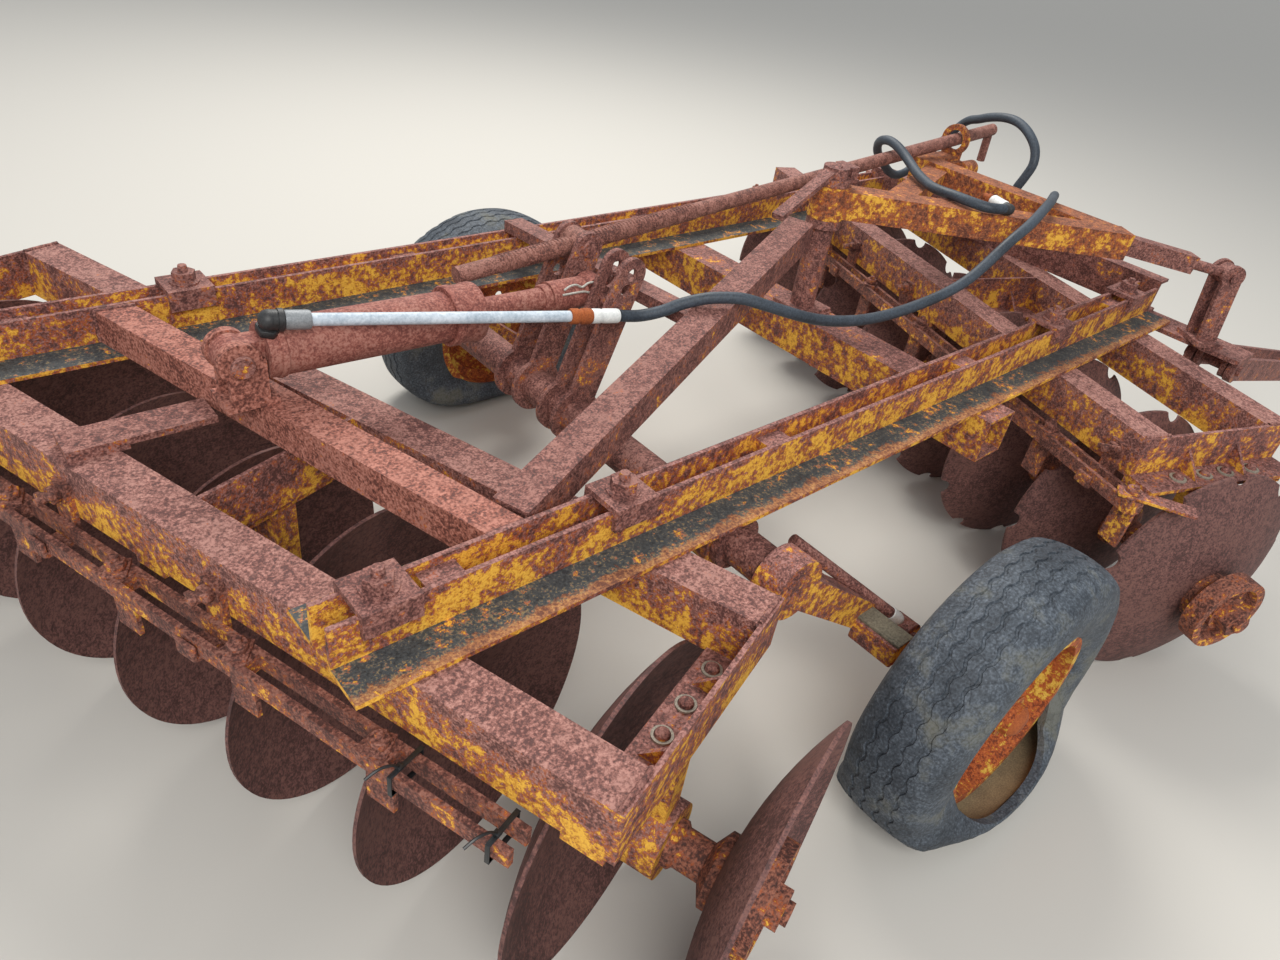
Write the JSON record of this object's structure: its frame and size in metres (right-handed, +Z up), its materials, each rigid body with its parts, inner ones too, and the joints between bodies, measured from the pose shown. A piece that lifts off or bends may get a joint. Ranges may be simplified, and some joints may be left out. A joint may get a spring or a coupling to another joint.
{
  "type": "offset disc harrow",
  "caption": "Trailed offset disc harrow: long twin-angle rails over two angled gangs of concave discs, with wheel lift, cylinder, levelling screw and tongue.",
  "frame": {"origin": "centre of the whole harrow's bounding box, on the ground", "axes": "+X forward to the hitch, +Y to the left, +Z up"},
  "size_m": [3.9603, 2.1899, 1.0549],
  "materials": {
    "worn_yellow_paint": "old yellow enamel worn through to rust on edges and tops",
    "rusted_steel": "matt mauve-brown rust with traces of yellow enamel",
    "disc_steel": "even dark brown rust, faint polish rings",
    "cast_spools": "rusted casting",
    "wheel_rim": "flaking yellow enamel over orange rust",
    "tyre": "weathered dusty rubber with worn zigzag tread",
    "galvanised_pipe": "chalky zinc-white pipe with a rusty coupling",
    "cylinder_steel": "dull red oxide paint, scuffed, rust at the rod",
    "hose_rubber": "matt blue-black hose rubber",
    "hose_fittings": "pale plated ferrules, a rusty nipple"
  },
  "bodies": {
    "root": {"right_rail": "worn_yellow_paint", "left_rail": "worn_yellow_paint", "rail_clamps": "rusted_steel", "front_channel": "rusted_steel", "cross_beam": "worn_yellow_paint", "cross_tube": "rusted_steel", "anchor_strut": "rusted_steel", "cylinder_anchor": "rusted_steel", "stay": "rusted_steel", "post": "rusted_steel", "drawbar_frame": "worn_yellow_paint", "screw_bracket": "worn_yellow_paint", "low_strut": "rusted_steel", "rear_beams": "rusted_steel", "rear_ties": "worn_yellow_paint", "rear_standards": "rusted_steel", "front_beams": "rusted_steel", "front_ties": "worn_yellow_paint", "front_standards": "rusted_steel", "rear_scraper_bars": "rusted_steel", "rear_scraper_blades": "rusted_steel", "front_scraper_bars": "rusted_steel", "front_scraper_blades": "rusted_steel", "rockshaft_bearings": "worn_yellow_paint", "link_bar": "rusted_steel", "hitch_plate": "rusted_steel", "tongue": "rusted_steel", "mast": "rusted_steel", "hose": "hose_rubber", "hose_ends": "hose_fittings"},
    "front_gang": {"front_axle": "cast_spools", "front_discs": "disc_steel"},
    "rear_gang": {"rear_axle": "cast_spools", "rear_discs": "disc_steel"},
    "lift": {"rockshaft": "rusted_steel", "lift_plates": "rusted_steel", "wheel_arms": "worn_yellow_paint"},
    "right_wheel": {"right_rim": "wheel_rim", "right_tyre": "tyre"},
    "left_wheel": {"left_rim": "wheel_rim", "left_tyre": "tyre"},
    "cylinder": {"cylinder_barrel": "cylinder_steel", "oil_pipe": "galvanised_pipe"},
    "rod": {"cylinder_rod": "cylinder_steel"},
    "screw": {"levelling_screw": "rusted_steel"}
  },
  "joints": [
    {"name": "front_gang_turn", "type": "hinge", "parent": "root", "child": "front_gang", "pos_m": [0.675, -0.006, 0.29], "axis": [0.3502, 0.9367, 0], "continuous": true},
    {"name": "rear_gang_turn", "type": "hinge", "parent": "root", "child": "rear_gang", "pos_m": [-1.415, 0.115, 0.29], "axis": [-0.314, 0.9494, 0], "continuous": true},
    {"name": "lift", "type": "hinge", "parent": "root", "child": "lift", "pos_m": [-0.789, 0.074, 0.543], "axis": [0, -1, 0], "range_deg": [-4, 30]},
    {"name": "right_wheel_turn", "type": "hinge", "parent": "lift", "child": "right_wheel", "pos_m": [-0.379, -0.832, 0.238], "axis": [0, 1, 0], "continuous": true},
    {"name": "left_wheel_turn", "type": "hinge", "parent": "lift", "child": "left_wheel", "pos_m": [-0.379, 0.98, 0.238], "axis": [0, 1, 0], "continuous": true},
    {"name": "cylinder_swing", "type": "hinge", "parent": "root", "child": "cylinder", "pos_m": [-1.422, 0.119, 0.792], "axis": [0, -1, 0], "range_deg": [-0.66, 1.7]},
    {"name": "rod_slide", "type": "slide", "parent": "cylinder", "child": "rod", "axis": [0.9995, 0, -0.0303], "range_m": [-0.1256, 0.0185]},
    {"name": "screw_swing", "type": "hinge", "parent": "lift", "child": "screw", "pos_m": [-0.68178, 0.202, 0.836], "axis": [0, -1, 0], "range_deg": [-31.81, 4.68]}
  ],
  "couplings": [
    {"joint": "cylinder_swing", "follows": "lift", "ratio": 0.04},
    {"joint": "rod_slide", "follows": "lift", "m_per_rad": -0.236},
    {"joint": "screw_swing", "follows": "lift", "ratio": -1.0435}
  ]
}
